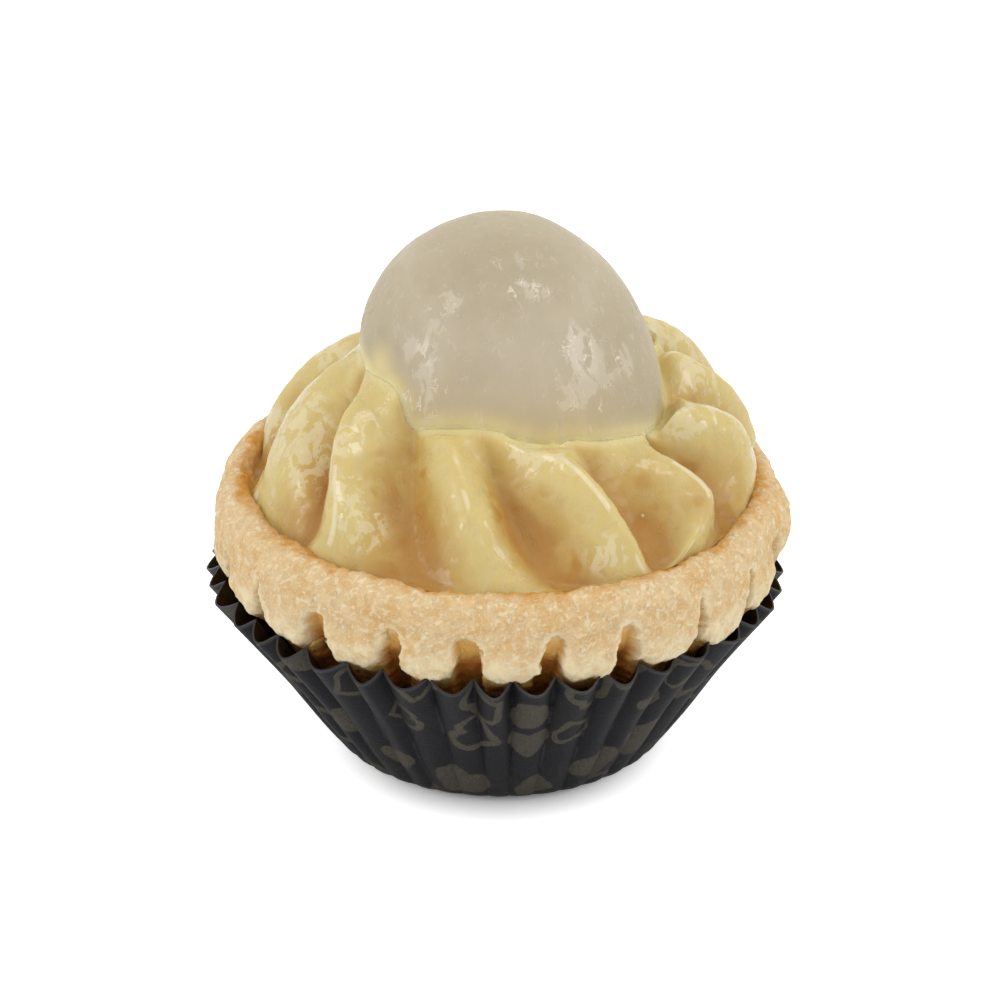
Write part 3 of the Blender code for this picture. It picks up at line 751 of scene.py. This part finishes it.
custardLook = {
    "columns": 40,  # per ridge
    "rows": 130,
    "insideRows": 19,
    # from here to the ripples all lengths are in mm
    "footRadius": 26.0,
    "footHeight": 28.3,  # where it pools against the pastry
    "riseFrom": 27.5,
    "creaseFrom": 27.3,  # the same for the valleys
    "closeUp": 2.2,  # how far from the lychee it starts to close up to it
    "fillet": (0.7, 0.55),  # width and height
    "seatWidth": 1.5,
    "fill": ((0.46, 5.95), (0.74, 17.0)),  # inside the case: share of the foot's radius, and height
    "top": 36.0,
    "ripples": ((0.14, 3.0, 21, 2), (0.04, 1.1, 22, 2)),  # for relief()
    "crest": (0.63, 0.503, 0.208),
    "flank": (0.54, 0.366, 0.115),
    "valley": (0.45, 0.235, 0.058),
    "spots": (0.44, 0.21, 0.035),
    "bubble": (0.75, 0.68, 0.5),
    "seat": (0.76, 0.63, 0.30),  # where the glaze lies thick against the lychee, made paler as painted light over the crevice's shade
    # painted highlight where the glaze catches the light
    "sheen": (0.80, 0.73, 0.53),
    "shine": 0.9,  # of the glaze where it lies thick
    "roughness": (0.2, 0.3),
    "bump": (0.6, 0.12 * mm),
    "mottle": (230.0, 900.0),
    "rippleScale": 520.0,
    "poolScale": 600.0,
    "poolShares": (0.36, 0.62),
    "wrinkleScale": 760.0,
    "caught": 0.34,
    "finish": {"Coat Roughness": 0.04, "IOR": 1.34, "Subsurface Weight": 0.5,
               "Subsurface Radius": (1.0, 0.6, 0.25), "Subsurface Scale": 0.0016},
    # where it meets the lychee: angle and height
    "seatHeights": ((-140, -90, -63, -48, -43, -40, -37, -33, -23, -15, -9, 0, 9, 18, 28, 38, 49, 64, 79, 90,
                     102, 115, 140),
                    (43.0, 43.2, 43.1, 43.5, 42.8, 40.6, 39.7, 39.6, 40.3, 40.6, 40.9, 40.7, 39.7, 39.3, 39.2,
                     38.5, 38.0, 36.9, 36.7, 38.0, 41.2, 43.0, 43.4)),
    # darker places, and the wet places where the glaze catches the light and gets a painted highlight: angle,
    # distance out, height and size
    "darkPlaces": ((45, 20.2, 35.2, 3.4), (54, 24.6, 33.1, 2.6)),
    "wetAndHighlight": (
        (-83, 20.5, 38.8, 2.6), (-72, 21.0, 36.5, 2.8), (-66, 21.1, 34.3, 2.4), (-48, 20.6, 39.5, 1.5),
        (-35, 24.1, 32.9, 2.2), (-40, 23.0, 35.5, 1.5), (8, 16.8, 40.0, 1.6), (13, 17.6, 39.7, 2.2),
        (25, 25.4, 31.2, 1.8), (73, 19.6, 38.6, 2.2), (78, 20.8, 39.0, 2.0), (83, 24.7, 36.1, 1.6),
        (98, 20.8, 39.7, 2.0), (116, 20.8, 39.3, 2.2), (117, 18.6, 41.9, 1.6), (-105, 24.6, 31.4, 2.0),
        (-117, 19.9, 39.3, 2.0),
    ),
    # each ridge, in mm and degrees: angle at its foot and top, reach, height and radius of its top,
    # squareness, curl of its foot, where the valley before it lies at the foot and top, how its two sides
    # fall away, and how deep that valley is beside the lychee
    "ridges": (
        (-180, -200, 26.4, 43.6, 11.0, 1.0, 0, 0.5, 0.5, 1.2, 1.2, 0.7),
        (-147, -170, 26.2, 42.8, 11.0, 1.0, 0, 0.5, 0.5, 1.2, 1.2, 0.7),
        (-109, -132, 26.6, 42.4, 11.0, 1.0, 2, 0.5, 0.5, 1.1, 2.2, 0.7),
        (-75, -99, 25.3, 43.5, 10.6, 1.13, 5, 0.55, 0.6, 1.6, 0.9, 0.7),
        (-38, -66, 25.5, 42.5, 13.0, 0.9, 8, 0.7, 0.72, 1.3, 1.9, 0.7),
        (-1, -22, 25.4, 41.1, 14.2, 0.96, -6, 0.5, 0.65, 2.1, 1.8, 1.5),
        (31, 16, 25.8, 39.8, 16.4, 0.76, -3.5, 0.4, 0.38, 1.9, 1.4, 0.2),
        (59, 53, 25.9, 37.5, 13.0, 0.58, 16, 0.26, 0.3, 2.2, 1.4, 0.1),
        (89, 76, 26.6, 39.2, 19.4, 0.8, 0, 0.3, 0.3, 2.0, 1.2, 1.0),
        (104, 97, 27.8, 43.3, 11.0, 1.0, 0, 0.3, 0.35, 1.3, 1.0, 0.7),
        (121, 121, 28.2, 44.7, 11.0, 1.07, 0, 0.4, 0.4, 1.0, 1.2, 0.7),
        (149, 142, 26.8, 44.4, 11.0, 1.0, 0, 0.5, 0.5, 1.2, 1.2, 0.7),
    ),
}


def makeCustard(look, fruit):
    first = look["ridges"][0]
    ridges = np.array((*look["ridges"], (first[0] + 360, first[1] + 360, *first[2:])), float)
    foot, top, reaches, crests, peaks, squareness, curl, *rest = ridges.T
    valleyFoot, valleyTop, leftFall, rightFall, dips = rest
    shares = np.arange(look["columns"]) / look["columns"]
    start, riseFrom = look["footRadius"], look["riseFrom"]

    def level(climb, inward=0.0):
        marks = between(foot, top, climb**1.4) - curl * max(1 - climb / 0.3, 0) ** 2
        angles, number, share = columnsBetween(marks, shares)
        easing = easeStep(0, 1, share)
        reach, crest, peak, square = (
            between(row[number], row[number + 1], easing) for row in (reaches, crests, peaks, squareness)
        )
        valley = between(valleyFoot, valleyTop, climb)[number + 1]
        away = np.where(share < valley, share / valley, (1 - share) / (1 - valley))
        fall = between(np.where(share < valley, rightFall[number], leftFall[number + 1]), 0.9, climb**3)
        onCrest = np.maximum(np.cos(away * math.pi / 2), 0) ** fall
        turn = climb * math.pi / 2
        crestRadius = peak + (reach - peak) * math.cos(turn)
        crestHeight = riseFrom + (crest - riseFrom) * math.sin(turn) ** square
        crestRadius -= (reach - start) * easeStep(31.0, riseFrom, crestHeight)
        valleyRadius = between(start, peak, climb)
        valleyHeight = between(look["creaseFrom"], crest - dips[number + 1], climb**1.15)
        radius = between(valleyRadius, crestRadius, onCrest) * between(1, 0.5, inward)
        height = between(valleyHeight, crestHeight, onCrest) - 15 * inward**2 / (inward + 0.15)
        pool = look["footHeight"] + 0.12 * wobble(angles, seed=15)
        height = pool + 0.25 * np.logaddexp(0, (height - pool) / 0.25)
        return onCircle(angles, radius * mm, height * mm), onCrest

    climbs = np.linspace(0, 1, look["rows"]) ** 1.15
    inwards = np.linspace(0, 1, look["insideRows"] + 1)[1:]
    levels = [level(climb) for climb in climbs] + [level(1.0, inward) for inward in inwards]
    climb = np.concatenate([climbs, np.ones(len(inwards))])
    shape = np.array([points for points, _ in levels])
    onCrest = np.array([share for _, share in levels])
    shape += outward(shape) * (relief(shape, look["ripples"]) * mm)[..., None]
    # the custard closes up to the lychee all the way round
    gap = fruit.gaps(shape)
    seat = np.interp(np.degrees(np.arctan2(shape[..., 0], -shape[..., 1])), *look["seatHeights"]) * mm
    shape[..., 2] += easeStep(look["closeUp"] * mm, 0.0, gap) * (seat - shape[..., 2])
    filletWidth, filletHeight = look["fillet"]
    shape[..., 2] += filletHeight * mm * np.maximum(1 - gap / (filletWidth * mm), 0) ** 2
    near = np.maximum(1 - gap / (look["seatWidth"] * mm), 0) ** 2
    inCase = [shape[0] * (share, share, 0) + (0, 0, height * mm) for share, height in look["fill"]]
    grid = np.concatenate([inCase, shape])
    pad = np.zeros((len(inCase), grid.shape[1]))
    values = {"crest": onCrest, "climb": onCrest * 0 + climb[:, None], "nearLychee": near}
    values = {label: np.concatenate([pad, numbers]) for label, numbers in values.items()}
    values |= {label: nearSpots(grid, look[label]) for label in ("wetAndHighlight", "darkPlaces")}
    bottom = look["fill"][0][1]
    piece = gridPiece("custardRosette", grid, (0, 0, bottom * mm), (0, 0, look["top"] * mm), values)
    piece.data.materials.append(custardMaterial(look))
    place(piece, "custard")
    return grid


def custardMaterial(look):
    material, tree, shader, place3d = newMaterial("glazedCustard")
    patches = mottled(tree, place3d, look["mottle"])["Patches"]
    crest, climb = painted(tree, "crest"), painted(tree, "climb")
    # valleys are tan at the foot and turn yellow towards the lychee; their darker tan is partly thicker glaze
    # and partly painted shade
    raised = maths(tree, "MULTIPLY_ADD", ramp(tree, climb, 0.35, 0.95), 0.35, crest)
    uneven = maths(tree, "MULTIPLY_ADD", maths(tree, "SUBTRACT", patches, 0.5), 0.2, raised)
    low = tint(tree, ramp(tree, uneven, 0.05, 0.5), look["valley"], look["flank"])
    colour = tint(tree, ramp(tree, uneven, 0.4, 0.95), low, look["crest"])
    spotted = ramp(tree, cloudy(tree, place3d, 310.0, 1.0), 0.6, 0.72, 0.0, 0.7)
    inValley = maths(tree, "MULTIPLY", spotted, ramp(tree, crest, 0.75, 0.3))
    # darker at the listed places
    darkShare = painted(tree, "darkPlaces")
    darker = tint(tree, ramp(tree, darkShare, 0.0, 1.0, 0.0, 0.75), colour, look["flank"])
    spots = maths(tree, "MAXIMUM", inValley, ramp(tree, darkShare, 0.88, 1.0, 0.0, 0.45))
    spotty = tint(tree, spots, darker, look["spots"])
    glaze, _, caught = glazed(tree, place3d, look)
    bubbled = tint(tree, maths(tree, "MULTIPLY", glaze["Bubbles"], 0.6), spotty, look["bubble"])
    # painted light where it meets the lychee, over the crevice's shade
    lit = tint(tree, ramp(tree, painted(tree, "nearLychee"), 0.1, 0.9, 0.0, 0.8), bubbled, look["seat"])
    # a thin painted highlight along parts of each crest
    onTop = maths(tree, "MULTIPLY", ramp(tree, crest, 0.99, 0.998), ramp(tree, climb, 0.9, 0.8))
    parts = ramp(tree, cloudy(tree, place3d, 150.0, 1.0), 0.47, 0.51, 0.0, 0.6)
    bright = maths(tree, "MAXIMUM", caught, maths(tree, "MULTIPLY", onTop, parts))
    shining = ramp(tree, crest, 0.1, 0.6, 0.1, look["shine"])
    fill(tree, shader, {
        "Base Color": tint(tree, bright, lit, look["sheen"]),
        "Roughness": ramp(tree, patches, 0, 1, *look["roughness"]),
        "Coat Weight": maths(tree, "MULTIPLY", glaze["Wetness"], shining),
        "Normal": bumped(tree, glaze["Height"], *look["bump"]), **look["finish"]})
    return material


fruitGrid = lycheeShape(lycheeLook)
creamGrid = makeCustard(custardLook, Surface(fruitGrid))
print("custard made")
makeLychee(lycheeLook, fruitGrid, Surface(creamGrid))
print("lychee made")


studioLook = {
    "worldStrength": 0.84,
    "floorSize": 4,
    "floorColour": (0.9, 0.9, 0.9),
    "floorFinish": {"Roughness": 0.95, "Specular IOR Level": 0.1, "Emission Color": (1, 1, 1, 1)},
    "cloudScale": 9.0,
    "glowShape": (1.25, 1.0, 1.0),
    "floorGlow": ((15.0 * mm, 0.08), (24.0 * mm, 0.74)),  # distance from the middle, and strength there
    # each soft light: place, width, height and brightness of its face
    "lights": {
        "softLeft": ((-0.62, -0.28, 0.32), 0.28, 0.42, 2.85),
        "softRight": ((0.60, -0.26, 0.34), 0.28, 0.40, 2.35),
        "overhead": ((0.12, 0.02, 0.75), 0.36, 0.34, 2.3),
    },
    "lightAim": (0, 0, 0.03),
    "cameraDistance": 0.48,
    "cameraHeight": 25.5,  # degrees above the horizon
    "aim": (0, 0, 0.0263),
    "lens": 166.8,
    "sensor": 36,
}


def floorMaterial(look):
    material, tree, shader, place3d = newMaterial("matteFloor")
    shade = look["floorColour"]
    # the floor glows for the camera alone, like a light table turned low: painted light that fades towards the
    # cup into a painted shadow round it
    seen = add(tree, "LightPath").outputs["Is Camera Ray"]
    spread = stretched(tree, place3d, look["glowShape"])
    away = add(tree, "VectorMath", {0: spread}, operation="LENGTH").outputs[1]
    (inner, dim), (outer, bright) = look["floorGlow"]
    clouds = ramp(tree, cloudy(tree, place3d, look["cloudScale"]), 0.3, 0.7)
    fill(tree, shader, {
        "Base Color": tint(tree, clouds, shade, [c * 0.99 for c in shade]),
        "Emission Strength": maths(tree, "MULTIPLY", seen, ramp(tree, away, inner, outer, dim, bright)),
        **look["floorFinish"]})
    return material


def linkAimed(thing, target):
    thing.rotation_euler = (Vector(target) - thing.location).to_track_quat("-Z", "Y").to_euler()
    bpy.context.scene.collection.objects.link(thing)


def makeStudio(look):
    world = bpy.data.worlds.new("paleRoom")
    bpy.context.scene.world = world
    world.use_nodes = True
    fill(world.node_tree, world.node_tree.nodes["Background"], {
        "Color": (1, 1, 1, 1), "Strength": look["worldStrength"]})
    bpy.ops.mesh.primitive_plane_add(size=look["floorSize"], location=(0, 0, 0))
    floor = bpy.context.active_object
    floor.name = "paleFloor"
    floor.data.materials.append(floorMaterial(look))
    for name, (spot, width, height, brightness) in look["lights"].items():
        light = bpy.data.lights.new(name, "AREA")
        light.shape = "RECTANGLE"
        light.size, light.size_y = width, height
        light.energy = brightness * math.pi * width * height
        lamp = bpy.data.objects.new(name, light)
        lamp.location = spot
        linkAimed(lamp, look["lightAim"])


def makeCamera(look):
    camera = bpy.data.objects.new("camera", bpy.data.cameras.new("camera"))
    camera.data.lens = look["lens"]
    camera.data.sensor_width = look["sensor"]
    camera.data.clip_start = 0.01
    rise = math.radians(look["cameraHeight"])
    back = Vector((0, -math.cos(rise), math.sin(rise)))
    camera.location = Vector(look["aim"]) + back * look["cameraDistance"]
    linkAimed(camera, look["aim"])
    bpy.context.scene.camera = camera


makeStudio(studioLook)
makeCamera(studioLook)
bpy.context.scene.view_settings.view_transform = "Standard"
print("studio made")
